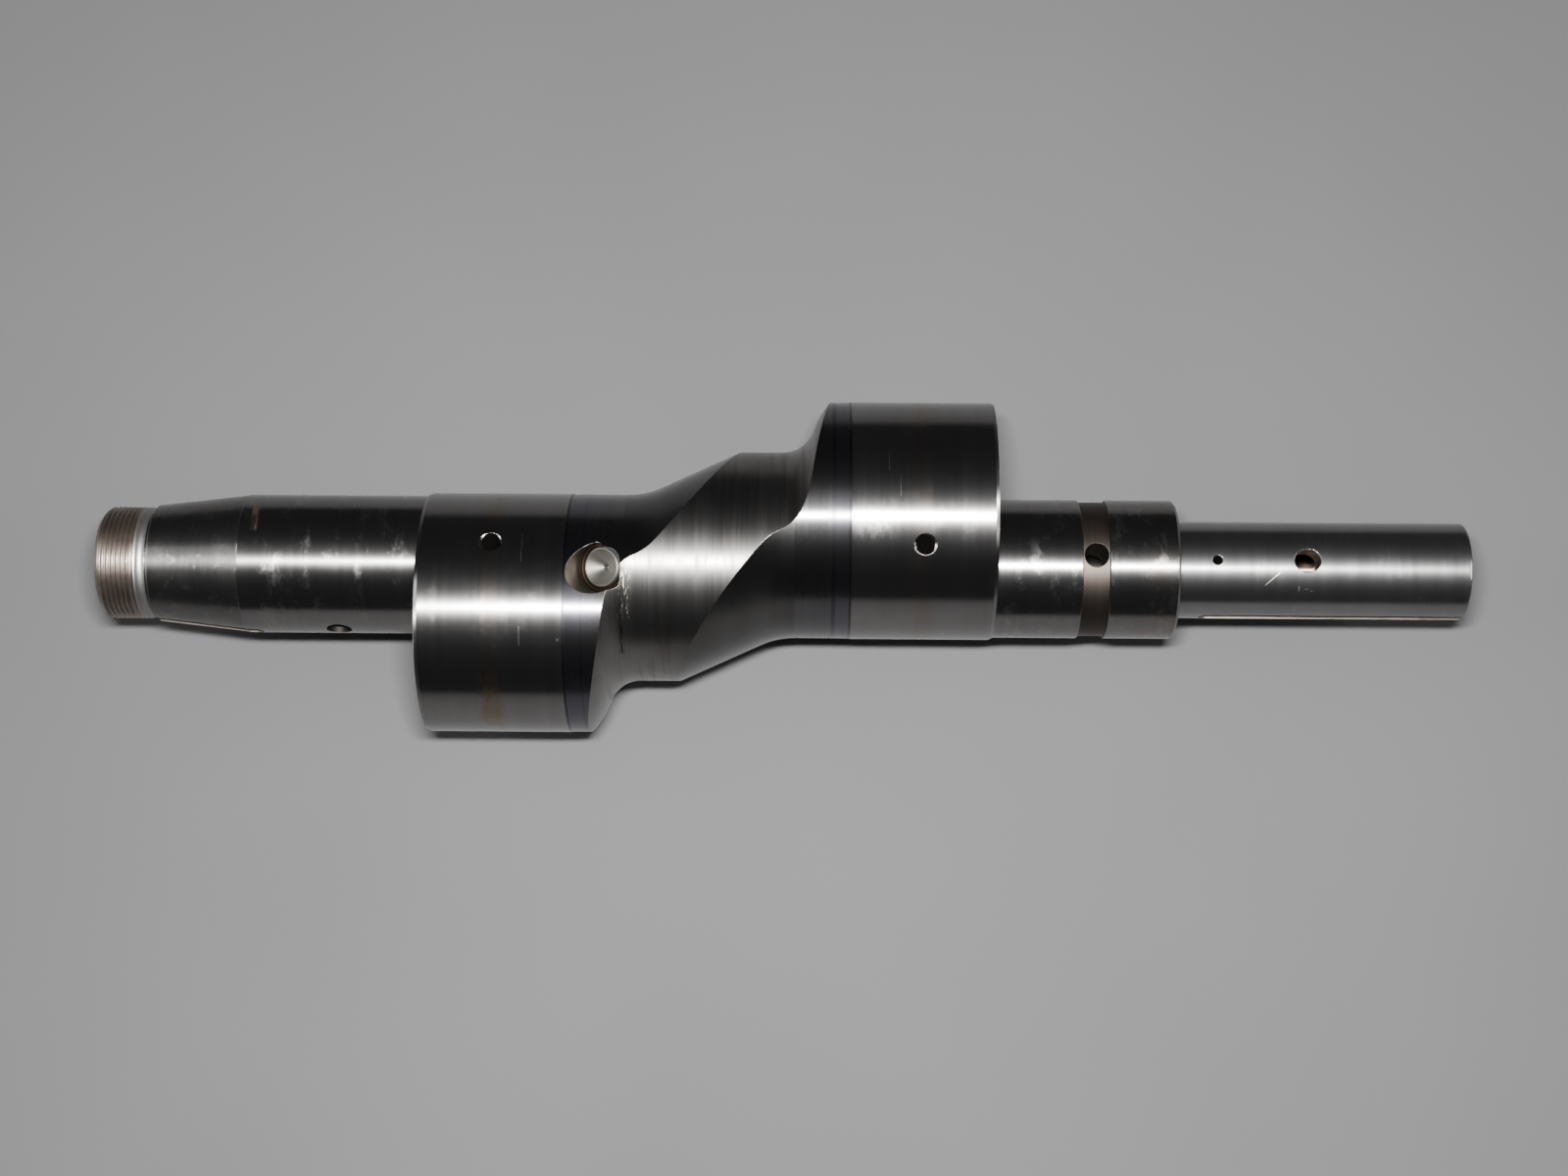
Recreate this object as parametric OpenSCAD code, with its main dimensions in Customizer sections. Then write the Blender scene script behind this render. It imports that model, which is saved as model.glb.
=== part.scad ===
// Eccentric shaft of a small two-rotor engine, with the pieces that stay in it on the bench:
// oil jets, oil bypass valve, gallery plug, pilot bearing and pilot seal.
//
// The shaft lies along X with its nose at +X, and +Z is up when it rests on its two rotor journals.
// The origin is on the main axis, halfway along the shaft. Stations named ..._x are measured from
// the middle plane between the two rotor journals, positive towards the nose.

/* [Journals] */
// Diameter of the two main journals
main_d = 43; // [42:0.5:44]
// Diameter of the two rotor journals
rotor_d = 74; // [72:0.5:76]
// Distance from the main axis to each rotor journal's axis
eccentricity = 15; // [14:0.5:15.5]
// Distance between the middles of the two rotor journals
rotor_pitch = 130; // [128:1:134]
// Ground width of each rotor journal
rotor_w = 44; // [42:1:46]
// Diameter of the drum between the rotor journals
drum_d = 71.4; // [70:0.2:72]

/* [Rear end] */
// Station of the rear end
rear_end_x = -189; // [-190:1:-188]
// Station where the taper meets the rear main journal
taper_end_x = -144; // [-146:1:-142]
// Outer diameter of the rear thread
thread_d = 34.8; // [34.4:0.1:35]
// Pitch of the rear thread
thread_pitch = 1.5; // [1.4:0.1:1.6]
// Small diameter of the taper
taper_small_d = 36.2; // [36:0.1:37]

/* [Nose] */
// Station of the shoulder between the front main journal and the nose
shoulder_x = 143; // [141:1:145]
// Station of the front end
front_end_x = 233; // [231:1:235]
// Diameter of the nose
nose_d = 30; // [29.5:0.1:30.5]
// Width of the two keyways
key_w = 5; // [4:0.5:6]
// Middle station of the oil groove in the front main journal
groove_x = 117.5; // [116:0.5:119]
// Width of the oil groove
groove_w = 8.4; // [7:0.2:9]

/* [Oil ways] */
// Diameter of the oil gallery along the main axis
gallery_d = 9; // [8:0.5:9.5]
// Diameter of the oil holes of the rotor journals
rotor_hole_d = 5.6; // [5:0.2:6]
// Diameter of the oil holes of the main journals
main_hole_d = 7.5; // [7:0.5:8]
// Tilt of each oil jet away from the drum
jet_tilt = 30; // [28:1:32]

/* [Pilot bearing] */
// Diameter of the pilot shaft that the bearing takes
pilot_d = 15; // [15:0.01:15.04]
// Number of needle rollers
needle_count = 12; // [8:1:12]
// Length of a needle roller
needle_len = 12.4; // [11.4:0.2:12.4]

/* [Hidden] */
$fn = 96;
eps = 0.02;                     // gap between pieces that touch
over = 1;                       // how far a cutting shape runs past a face
mid_x = -(rear_end_x + front_end_x) / 2;

main_r = main_d / 2;
rotor_r = rotor_d / 2;
drum_r = drum_d / 2;
nose_r = nose_d / 2;
rotor_x = rotor_pitch / 2;
rotor_outer_x = rotor_x + rotor_w / 2;
rotor_inner_x = rotor_x - rotor_w / 2;
reach = eccentricity + rotor_r; // furthest that a rotor journal stands from the main axis

// Relief beside each rotor journal, and the flare from it towards the other journal
relief_depth = 0.15;
relief_ramp = 0.9;
edge_depth = 0.35;              // outer edge: the face's thin side still stands clear of the main journal
flare_start_x = 25.8;
flare_fillet = 25;
flare_angle = 24.5;
flare_end_x = -12;
clear_r = 90;                   // radius past everything
seam_angle = 20;                // keeps each turned face's seam away from the oil holes

// Cheek: a hollow fillet that rises from the drum, then a crown up to the rotor journal
cheek_start_x = 21.8;
cheek_fillet = 10;
cheek_angle = 70;
crown_r = 30;
fillet_end = [cheek_start_x + cheek_fillet * sin(cheek_angle),
    drum_r + cheek_fillet * (1 - cos(cheek_angle))];
crown_centre = [fillet_end.x + crown_r * sin(cheek_angle) - eps,
    fillet_end.y - crown_r * cos(cheek_angle)];
crown_end_r = reach - 0.6;
crown_end_x = crown_centre.x - sqrt(crown_r * crown_r - pow(crown_end_r - crown_centre.y, 2));

// Rear thread, neck and taper
thread_r = thread_d / 2;
thread_depth = 0.9;
thread_turns = 8;
thread_start_x = rear_end_x + 0.4;
thread_end_x = thread_start_x + thread_turns * thread_pitch;
end_chamfer = 2.3;
neck_r = thread_r - 0.8;
neck_x = thread_end_x + 3.4;
taper_x = neck_x + 1.1;
taper_small_r = taper_small_d / 2;
taper_slope = atan((main_r - 0.15 - taper_small_r) / (taper_end_x - taper_x));
key_depth = 3;

// Bores in the rear end, as depths from the rear face
seal_bore_r = 12;
seal_bore_depth = 6;
cup_bore_r = 11;
cup_bore_depth = 27;
plug_bore_r = 8;
plug_bore_depth = 39;

// Bores in the nose, as depths from the front face
bolt_bore_r = 9;
bolt_bore_depth = 34;
valve_bore_r = 7.5;
valve_bore_depth = 85;

// Oil holes
gallery_r = gallery_d / 2;
rear_main_hole_x = -115;
rear_main_hole_angle = 82;
nose_small_x = 155;
nose_small_d = 2.7;
port_x = 182.5;

// Oil jet: its own axis starts at the middle of the pocket floor and points out of the shaft
jet_x = 31.1;
jet_radius = 33.6;
jet_roll = 12.7;
pocket_r = 7.75;
jet_plug_r = 6;
jet_bore_depth = 13;
jet_head = 1.2;
jet_chamber_r = 3.1;
jet_chamber_top = -3.3;
jet_feed_r = 2;
jet_ball_r = 2.5;
jet_ball_z = -jet_bore_depth + sqrt(jet_ball_r * jet_ball_r - jet_feed_r * jet_feed_r) + 0.03;
jet_cone_r = 5;
jet_orifice_r = 0.8;

// Pilot bearing and seal, as depths from the rear face
cup_start = 7;
cup_len = 16;
cup_wall = 1;
raceway_r = cup_bore_r - cup_wall;
needle_r = (raceway_r - pilot_d / 2) / 2 - eps;
needle_pitch_r = (raceway_r + pilot_d / 2) / 2;
cage_len = cup_len - 2;
cage_inner_r = needle_pitch_r - 0.65;
cage_outer_r = needle_pitch_r + 0.6;
needle_slack = 0.05;

// Gallery plug, as depths from the rear face
plug_head_start = 23.5;
plug_head_r = 10.7;
ring_wire_r = 0.8;
ring_r = cup_bore_r - ring_wire_r - 0.05;
hex_af = 8;

// Bypass valve
valve_rear_x = 174;
valve_len = 20;
valve_r = valve_bore_r - 0.05;
valve_pin_r = 2;
valve_spring_seat_x = front_end_x - valve_bore_depth;

steel = [0.46, 0.45, 0.44];
bright_steel = [0.72, 0.72, 0.70];

// ---- placing ----

// Turns a shape drawn along Z so that it lies along the shaft, from station x towards the nose
module along_shaft(x) translate([mid_x + x, 0, 0]) rotate([0, 90, 0]) children();

// The same from the rear face inwards, and from the front face inwards
module from_rear() along_shaft(rear_end_x) children();
module from_front() along_shaft(front_end_x) mirror([0, 0, 1]) children();

// A drilling from the main axis outwards at station x, turned by an angle from +Z towards -Y
module radial(x, angle = 0) translate([mid_x + x, 0, 0]) rotate([angle, 0, 0]) children();

// The axis of an oil jet: side is -1 at the rear, where it is on top, and 1 at the front, underneath
module jet_axis(side)
    translate([mid_x + side * jet_x, 0, 0])
    rotate([jet_roll + (side > 0 ? 180 : 0), 0, 0])
    translate([0, 0, jet_radius])
    rotate([0, side * jet_tilt, 0])
    children();

// ---- helical spring ----

// One ring of points round the wire at turn t of a spring whose ends lie flat for part of a turn
function wire_ring(t, coil_r, wire_r, len, turns, sides, flat) =
    let (rise = min(max((t - flat) / (turns - 2 * flat), 0), 1),
         z = wire_r + (len - 2 * wire_r) * rise)
    [for (k = [0 : sides - 1])
        let (a = 360 * k / sides, r = coil_r + wire_r * cos(a))
        [r * cos(360 * t), r * sin(360 * t), z + wire_r * sin(a)]];

module spring(coil_r, wire_r, len, turns, steps = 16, sides = 8, flat = 0.4) {
    rings = round(turns * steps);
    points = [for (i = [0 : rings]) each wire_ring(i / steps, coil_r, wire_r, len, turns, sides, flat)];
    walls = [for (i = [0 : rings - 1], k = [0 : sides - 1])
        let (n = (k + 1) % sides)
        [i * sides + k, (i + 1) * sides + k, (i + 1) * sides + n, i * sides + n]];
    first = [for (k = [0 : sides - 1]) k];
    last = [for (k = [sides - 1 : -1 : 0]) rings * sides + k];
    polyhedron(points, concat([first], walls, [last]));
}

// ---- shaft: outside ----

// Outline turned on the main axis between the rotor journals, for one half: the drum, its hollow
// fillet and the crowned cheek. Drawn as [radius, station].
module cheek_outline() {
    difference() {
        polygon([[0, 0], [drum_r, 0], [drum_r, cheek_start_x], [fillet_end.y, fillet_end.x],
                 [crown_end_r, crown_end_x + 0.2], [reach + 0.6, crown_end_x + 2.4],
                 [clear_r, crown_end_x + 2.4], [clear_r, rotor_outer_x + over],
                 [0, rotor_outer_x + over]]);
        translate([drum_r + cheek_fillet, cheek_start_x]) circle(cheek_fillet);
    }
    intersection() {
        translate([crown_centre.y, crown_centre.x]) circle(crown_r);
        translate([fillet_end.y - 3, fillet_end.x - 2])
            square([crown_end_r - fillet_end.y + 3, crown_r]);
    }
}

// Outline turned on a rotor journal's own axis: the ground journal, the relief beside it, and the
// flare that opens towards the other journal. Drawn as [radius, station], this journal at +.
module flare_outline() {
    relief_r = rotor_r - relief_depth;
    tangent_x = flare_start_x - flare_fillet * sin(flare_angle);
    tangent_r = relief_r + flare_fillet * (1 - cos(flare_angle));
    flare_end_r = tangent_r + (tangent_x - flare_end_x) * tan(flare_angle);
    difference() {
        polygon([[0, rotor_outer_x], [rotor_r - edge_depth, rotor_outer_x], [rotor_r, rotor_outer_x - 1],
                 [rotor_r, rotor_inner_x], [relief_r, rotor_inner_x - relief_ramp], [relief_r, flare_start_x],
                 [tangent_r, tangent_x], [flare_end_r, flare_end_x], [clear_r, flare_end_x],
                 [clear_r, -rotor_outer_x - over], [0, -rotor_outer_x - over]]);
        translate([relief_r + flare_fillet, flare_start_x]) circle(flare_fillet);
    }
}

module cheeks() {
    for (m = [0, 1])
        along_shaft(0) mirror([0, 0, m]) rotate_extrude() cheek_outline();
}

module flare(side)
    translate([0, side * eccentricity, 0])
    along_shaft(0) mirror([0, 0, side > 0 ? 0 : 1]) rotate(-side * seam_angle)
        rotate_extrude() flare_outline();

// Drum and both rotor journals: what is left after turning on three centres
module eccentric_body() {
    intersection() {
        cheeks();
        flare(-1);
        flare(1);
    }
}

// Radius of the rear thread's end chamfer at a station
function chamfer_r(x) = thread_r - end_chamfer + (x - rear_end_x);

module rear_stub() {
    thread = [for (i = [0 : thread_turns - 1])
        let (x = thread_start_x + i * thread_pitch, crest_x = x + thread_pitch / 2)
        each [[min(thread_r - thread_depth, chamfer_r(x)), x], [min(thread_r, chamfer_r(crest_x)), crest_x]]];
    along_shaft(0) rotate(-seam_angle) rotate_extrude() polygon(concat(
        [[0, rear_end_x], [thread_r - end_chamfer, rear_end_x]],
        thread,
        [[thread_r - thread_depth, thread_end_x],
         [thread_r - 0.3, thread_end_x + 0.5], [thread_r - 0.1, neck_x - 1.1],
         [neck_r, neck_x - 0.2], [neck_r, neck_x + 0.2],
         [taper_small_r, taper_x], [main_r - 0.15, taper_end_x], [main_r, taper_end_x + 0.15],
         [main_r, -rotor_outer_x + 2], [0, -rotor_outer_x + 2]]));
}

module front_stub() {
    groove_depth = 0.7;
    chamfer = 1.2;
    along_shaft(0) rotate_extrude() polygon([
        [0, rotor_outer_x - 2], [main_r, rotor_outer_x - 2],
        [main_r, groove_x - groove_w / 2], [main_r - groove_depth, groove_x - groove_w / 2 + 0.3],
        [main_r - groove_depth, groove_x + groove_w / 2 - 0.3], [main_r, groove_x + groove_w / 2],
        [main_r, shoulder_x - 0.8], [main_r - 0.8, shoulder_x], [nose_r, shoulder_x],
        [nose_r, front_end_x - chamfer], [nose_r - chamfer, front_end_x], [0, front_end_x]]);
}

// ---- shaft: what is cut out of it ----

module rear_bores() {
    from_rear() {
        translate([0, 0, -over]) cylinder(h = seal_bore_depth + over, r = seal_bore_r);
        translate([0, 0, -over]) cylinder(h = over + 1.5, r1 = seal_bore_r + 1.5 + over, r2 = seal_bore_r);
        cylinder(h = cup_bore_depth, r = cup_bore_r);
        cylinder(h = plug_bore_depth, r = plug_bore_r);
    }
}

module nose_bores() {
    from_front() {
        translate([0, 0, -over]) cylinder(h = bolt_bore_depth + over, r = bolt_bore_r);
        translate([0, 0, -over]) cylinder(h = over + 1.2, r1 = bolt_bore_r + 1.2 + over, r2 = bolt_bore_r);
        cylinder(h = valve_bore_depth, r = valve_bore_r);
    }
}

module oil_gallery() {
    start_x = rear_end_x + plug_bore_depth - over;
    end_x = front_end_x - valve_bore_depth + over;
    along_shaft(start_x) cylinder(h = end_x - start_x, r = gallery_r);
}

module rotor_hole(side) {
    hole_top = sqrt(rotor_r * rotor_r - eccentricity * eccentricity);
    radial(side * rotor_x) {
        cylinder(h = rotor_r, d = rotor_hole_d);
        translate([0, 0, hole_top - 1.3]) cylinder(h = 4, r1 = rotor_hole_d / 2, r2 = rotor_hole_d / 2 + 4);
    }
}

module main_holes() {
    radial(rear_main_hole_x, rear_main_hole_angle) cylinder(h = main_r + over, d = main_hole_d);
    radial(groove_x) cylinder(h = main_r + over, d = main_hole_d);
}

module nose_holes() {
    radial(nose_small_x) cylinder(h = nose_r + over, d = nose_small_d);
    radial(port_x) cylinder(h = nose_r + over, d = main_hole_d);
}

module jet_cut(side) {
    jet_axis(side) {
        cylinder(h = 20, r = pocket_r);
        translate([0, 0, -jet_bore_depth]) cylinder(h = jet_bore_depth + over, r = jet_plug_r);
        feed = jet_radius / cos(jet_tilt);
        translate([0, 0, -feed]) cylinder(h = feed, r = jet_feed_r);
    }
}

module nose_keyway() {
    start_x = shoulder_x + 10.5;
    floor_r = nose_r - key_depth;
    radial(start_x, 90) translate([0, 0, floor_r]) {
        cylinder(h = key_depth + over, d = key_w);
        translate([0, -key_w / 2, 0]) cube([front_end_x - start_x + over, key_w, key_depth + over]);
    }
}

// The taper's keyway keeps its depth below the slanting face
module taper_keyway() {
    len = taper_end_x + 3 - taper_x;
    floor_r = taper_small_r - key_depth;
    radial(taper_x, 90) translate([0, 0, floor_r]) rotate([0, -taper_slope, 0]) {
        translate([-over, -key_w / 2, 0]) cube([len + over, key_w, key_depth + 2]);
        translate([len, 0, 0]) cylinder(h = key_depth + 2, d = key_w);
    }
}

module eccentric_shaft() {
    color(steel) difference() {
        union() {
            eccentric_body();
            rear_stub();
            front_stub();
        }
        rear_bores();
        nose_bores();
        oil_gallery();
        for (side = [-1, 1]) {
            rotor_hole(side);
            jet_cut(side);
        }
        main_holes();
        nose_holes();
        nose_keyway();
        taper_keyway();
    }
}

// ---- oil jets ----

module jet_plug(side) {
    cone_depth = jet_cone_r * tan(30);
    color(bright_steel) jet_axis(side) difference() {
        union() {
            translate([0, 0, -jet_bore_depth + 0.1])
                cylinder(h = jet_bore_depth - 0.1 + jet_head - 0.4, r = jet_plug_r - eps);
            translate([0, 0, jet_head - 0.4]) cylinder(h = 0.4, r1 = jet_plug_r - eps, r2 = jet_plug_r - 0.4);
        }
        translate([0, 0, jet_head - cone_depth])
            cylinder(h = cone_depth + 0.001, r1 = 0.01, r2 = jet_cone_r);
        translate([0, 0, jet_chamber_top - over]) cylinder(h = 4, r = jet_orifice_r);
        translate([0, 0, -jet_bore_depth - over])
            cylinder(h = jet_bore_depth + over + jet_chamber_top, r = jet_chamber_r);
    }
}

module jet_spring(side) {
    low = jet_ball_z + jet_ball_r + 0.1;
    color("dimgray") jet_axis(side) translate([0, 0, low])
        spring(coil_r = 2.4, wire_r = 0.35, len = jet_chamber_top - low - 0.05, turns = 4.5);
}

module jet_ball(side) color("silver") jet_axis(side) translate([0, 0, jet_ball_z]) sphere(r = jet_ball_r);

// ---- oil bypass valve ----

module thermo_valve_body() {
    waist_r = 5.2;
    skirt = 4;
    waist_start = 4.5;
    waist_end = 13;
    pin_bore = 7;
    color("peru") along_shaft(valve_rear_x) difference() {
        rotate_extrude() polygon([
            [0, 0], [valve_r - 0.4, 0], [valve_r, 0.4], [valve_r, waist_start], [waist_r, waist_start + 1],
            [waist_r, waist_end - 1], [valve_r, waist_end], [valve_r, valve_len - 0.6],
            [valve_r - 0.6, valve_len], [0, valve_len]]);
        translate([0, 0, -over]) cylinder(h = skirt + over, r = 4.6);
        translate([0, 0, valve_len - pin_bore]) cylinder(h = pin_bore + over, r = valve_pin_r + 0.05);
    }
}

module thermo_valve_pin() {
    inside = 6.5;
    proud = 4.6;
    color(bright_steel) along_shaft(valve_rear_x + valve_len - inside) {
        cylinder(h = inside + proud - 0.5, r = valve_pin_r);
        translate([0, 0, inside + proud - 0.5]) cylinder(h = 0.5, r1 = valve_pin_r, r2 = valve_pin_r - 0.5);
    }
}

module thermo_valve_spring() {
    color("dimgray") along_shaft(valve_spring_seat_x + 0.1)
        spring(coil_r = 6.1, wire_r = 0.8, len = valve_rear_x - valve_spring_seat_x - 0.2, turns = 7);
}

// ---- rear plug of the gallery ----

module gallery_plug() {
    groove_half = 1.1;
    head_len = cup_bore_depth - plug_head_start - eps;
    socket_depth = 6;
    groove_mid = head_len / 2;
    color(steel) from_rear() translate([0, 0, plug_head_start]) difference() {
        rotate_extrude() polygon([
            [0, 0], [plug_head_r - 0.4, 0], [plug_head_r, 0.4], [plug_head_r, groove_mid - groove_half],
            [ring_r - ring_wire_r - 0.03, groove_mid - groove_half],
            [ring_r - ring_wire_r - 0.03, groove_mid + groove_half], [plug_head_r, groove_mid + groove_half],
            [plug_head_r, head_len], [plug_bore_r - eps, head_len],
            [plug_bore_r - eps, head_len + 10], [plug_bore_r - 1, head_len + 11], [0, head_len + 11]]);
        translate([0, 0, -over]) cylinder(h = socket_depth + over, d = hex_af / cos(30), $fn = 6);
    }
}

module gallery_plug_ring() {
    middle = plug_head_start + (cup_bore_depth - plug_head_start - eps) / 2;
    color([0.06, 0.06, 0.06]) from_rear() translate([0, 0, middle])
        rotate_extrude() translate([ring_r, 0]) circle(ring_wire_r);
}

// ---- pilot bearing ----

module pilot_cup() {
    lip_r = 8.3;
    lip = 0.8;
    color(bright_steel) from_rear() translate([0, 0, cup_start]) rotate_extrude() polygon([
        [lip_r, 0], [cup_bore_r - 0.5, 0], [cup_bore_r - eps, 0.5],
        [cup_bore_r - eps, cup_len - 0.5], [cup_bore_r - 0.5, cup_len], [lip_r, cup_len],
        [lip_r, cup_len - lip], [raceway_r, cup_len - lip], [raceway_r, lip], [lip_r, lip]]);
}

module pilot_cage() {
    slot = [2 * (needle_r + needle_slack), needle_len + 2 * needle_slack];
    color("darkgoldenrod") from_rear() translate([0, 0, cup_start + (cup_len - cage_len) / 2]) difference() {
        cylinder(h = cage_len, r = cage_outer_r);
        translate([0, 0, -over]) cylinder(h = cage_len + 2 * over, r = cage_inner_r);
        for (i = [1 : needle_count])
            rotate(360 * i / needle_count)
                translate([cage_inner_r - over, -slot.x / 2, (cage_len - slot.y) / 2])
                    cube([cage_outer_r - cage_inner_r + 2 * over, slot.x, slot.y]);
    }
}

module pilot_needle(i)
    color("silver") from_rear()
        rotate(360 * i / needle_count)
        translate([needle_pitch_r, 0, cup_start + (cup_len - needle_len) / 2])
        cylinder(h = needle_len, r = needle_r);

// ---- pilot seal ----

module pilot_seal_case() {
    wall = 0.8;
    color(bright_steel) from_rear() rotate_extrude() polygon([
        [9.2, 1.2], [seal_bore_r - 0.4, 1.2], [seal_bore_r - eps, 1.6], [seal_bore_r - eps, 5.7],
        [seal_bore_r - wall, 5.7], [seal_bore_r - wall, 1.2 + wall], [9.2, 1.2 + wall]]);
}

module pilot_seal_lip() {
    outer = seal_bore_r - 0.8 - eps;
    color([0.08, 0.07, 0.06]) from_rear() rotate_extrude() polygon([
        [8.2, 2 + eps], [outer, 2 + eps], [outer, 3.2], [9.4, 3.2], [8.6, 4.6],
        [pilot_d / 2 + 0.1, 5.2], [pilot_d / 2 - 0.1, 4.8], [8, 3.4]]);
}

eccentric_shaft();
jet_plug(-1);  // rear_jet_plug
jet_spring(-1);  // rear_jet_spring
jet_ball(-1);  // rear_jet_ball
jet_plug(1);  // front_jet_plug
jet_spring(1);  // front_jet_spring
jet_ball(1);  // front_jet_ball
thermo_valve_body();
thermo_valve_pin();
thermo_valve_spring();
gallery_plug();
gallery_plug_ring();
pilot_cup();
pilot_cage();
pilot_seal_case();
pilot_seal_lip();
for (i = [1 : needle_count])
    pilot_needle(i);
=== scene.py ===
"""Looks of a two-rotor engine's eccentric shaft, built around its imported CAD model.

Shapes are made in millimetres in the frame of the CAD model: X along the main axis with the nose at +X,
Z up, and the origin halfway along the shaft. Stations are distances along X from the middle plane
between the two rotor journals. finish_piece() scales each finished shape to metres.
"""
import math

import bpy
import numpy as np
from mathutils import Matrix, Vector


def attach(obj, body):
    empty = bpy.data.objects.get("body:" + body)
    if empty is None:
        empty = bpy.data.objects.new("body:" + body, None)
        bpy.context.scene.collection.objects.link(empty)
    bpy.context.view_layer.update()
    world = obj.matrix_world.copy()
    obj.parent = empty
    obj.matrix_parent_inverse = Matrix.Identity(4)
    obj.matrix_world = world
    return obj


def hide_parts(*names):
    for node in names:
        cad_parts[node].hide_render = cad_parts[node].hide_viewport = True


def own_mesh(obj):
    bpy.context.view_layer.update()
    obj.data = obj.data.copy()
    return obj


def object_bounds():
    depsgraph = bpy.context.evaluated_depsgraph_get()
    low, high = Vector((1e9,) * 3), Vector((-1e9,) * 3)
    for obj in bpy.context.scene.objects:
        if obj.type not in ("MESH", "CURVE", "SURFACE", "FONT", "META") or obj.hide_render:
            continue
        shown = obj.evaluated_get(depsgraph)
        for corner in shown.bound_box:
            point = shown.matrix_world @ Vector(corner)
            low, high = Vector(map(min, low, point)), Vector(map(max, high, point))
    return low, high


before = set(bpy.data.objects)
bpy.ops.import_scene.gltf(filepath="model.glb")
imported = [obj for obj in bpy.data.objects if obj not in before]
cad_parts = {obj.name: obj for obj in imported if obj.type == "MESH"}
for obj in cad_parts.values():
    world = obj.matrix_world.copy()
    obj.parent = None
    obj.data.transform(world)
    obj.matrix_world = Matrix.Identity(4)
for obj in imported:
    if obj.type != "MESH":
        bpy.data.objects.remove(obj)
cad_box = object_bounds()

# ---- sizes, in millimetres ----

MM = 0.001
MAIN_R = 21.5
ROTOR_R = 37.0
ECCENTRICITY = 15.0
ROTOR_X = 65.0
ROTOR_INNER_X = 43.0
ROTOR_OUTER_X = 87.0
DRUM_R = 35.7
REAR_END = -189.0
FRONT_END = 233.0
TAPER_END = -144.0
TAPER_SMALL_R = 18.1
TAPER_LARGE_R = MAIN_R - 0.15
THREAD_R = 17.4
THREAD_PITCH = 1.5
THREAD_DEPTH = 0.9
THREAD_END = -176.6
SHOULDER = 143.0
NOSE_R = 15.0
NOSE_BOLT_R = 9.0
KEY_W = 5.0
KEY_DEPTH = 3.0
GROOVE_X = 117.5
GROOVE_W = 8.4
GALLERY_R = 4.5
PLUG_BORE_R = 8.0
VALVE_BORE_R = 7.5
VALVE_SEAT = FRONT_END - 85  # where the valve's bore starts, from behind
BOLT_BORE = FRONT_END - 34  # where the bolt's thread starts, from behind
MAIN_HOLE_R = 3.75
PIN_HOLE_R = 1.35
PIN_HOLE_X = 155.0
VALVE_HOLE_X = 182.5
REAR_HOLE_X = -115.0
REAR_HOLE_ROLL = 82.0
ROTOR_HOLE_R = 2.8
JET_X = 31.1
JET_RADIUS = 33.6
JET_ROLL = 12.7
JET_TILT = 30.0
POCKET_R = 7.75
JET_R = 6.0
JET_DEPTH = 13.0
JET_HEAD = 1.2
FEED_R = 2.0
CHAMBER_R = 3.1
CHAMBER_TOP = -3.3
BALL_R = 2.5
VALVE_R = 7.45
VALVE_X = 174.0
PIN_R = 2.0
SEAL_BORE_R = 12.0
SEAL_WALL = 0.8
CUP_BORE_R = 11.0
CUP_BORE_DEPTH = 27.0  # from the rear end, as are CUP_START and PLUG_HEAD
PLUG_BORE_DEPTH = 39.0
CUP_START = 7.0
CUP_LEN = 16.0
PLUG_HEAD = 23.5
RING_R = 10.15
RING_WIRE = 0.8
NEEDLES = 12
NEEDLE_R = 1.23
NEEDLE_LEN = 12.4
NEEDLE_PITCH_R = 8.75
GAP = 0.02  # between pieces that touch
PAST = 1.0  # how far a cutting shape runs past a face

JOIN_X = ROTOR_OUTER_X - 2  # where the main journals start, inside the rotor journals
OUTSIDE_X = ROTOR_OUTER_X + PAST
MID_X = -(REAR_END + FRONT_END) / 2
TAPER_X = THREAD_END + 4.5
REACH = ECCENTRICITY + ROTOR_R
FLAT, SMOOTH = 0, 1  # surfaces with no turned outline of their own

# ---- shapes turned round an axis ----

surfaces = [None, None]


def degrees(axis, angle):
    """A turn about one of the three axes."""
    return Matrix.Rotation(math.radians(angle), 4, axis)


def shift(x, y, z):
    """A move without a turn."""
    return Matrix.Translation((x, y, z))


def main_axis(y=0.0):
    """Places a shape drawn along Z on the main axis or beside it, so that its heights become stations."""
    return shift(MID_X, y, 0) @ degrees("Y", 90)


def along_shaft(station):
    """Places a shape drawn along Z so that it runs towards the nose from a station on the main axis."""
    return shift(MID_X + station, 0, 0) @ degrees("Y", 90)


def radial(station, angle=0.0):
    """Places a shape drawn along Z so that it points out of the shaft, turned from +Z towards -Y."""
    return shift(MID_X + station, 0, 0) @ degrees("X", angle)


def jet_axis(side):
    """Axis of an oil jet, from the middle of its pocket's floor outwards: side -1 rear, 1 front."""
    roll = JET_ROLL + (180 if side > 0 else 0)
    return radial(side * JET_X, roll) @ shift(0, 0, JET_RADIUS) @ degrees("Y", side * JET_TILT)


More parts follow.
